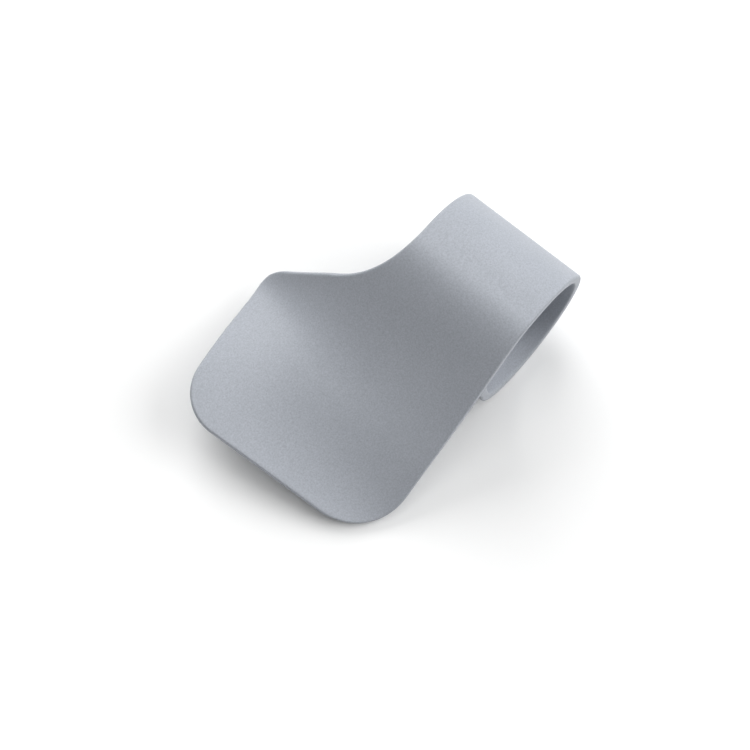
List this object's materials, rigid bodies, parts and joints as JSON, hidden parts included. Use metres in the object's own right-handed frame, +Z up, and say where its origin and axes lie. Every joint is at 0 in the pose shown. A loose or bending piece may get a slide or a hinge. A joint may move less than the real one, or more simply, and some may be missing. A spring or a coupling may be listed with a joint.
{
  "type": "throttle palm-rest clip",
  "caption": "Springy ring clip that grips a handlebar grip, with an S-curved palm paddle flared to one side.",
  "frame": {"origin": "centre of the ring's bore, half way along the grip", "axes": "+X from the ring toward the paddle's tip, +Y along the ring's axis toward the paddle's straight edge, +Z up from the table toward the ring's crown"},
  "size_m": [0.0852, 0.0629, 0.038],
  "materials": {
    "moulded_grey": "fine matte"
  },
  "bodies": {
    "arm": {"clip_arm": "moulded_grey"},
    "paddle": {"palm_paddle": "moulded_grey"}
  },
  "joints": [
    {"name": "ring_flex", "type": "hinge", "parent": "arm", "child": "paddle", "pos_m": [-0.019, 0, 0], "axis": [0, -1, 0], "range_deg": [0, 12], "stiffness_Nm_per_rad": 2.6}
  ]
}
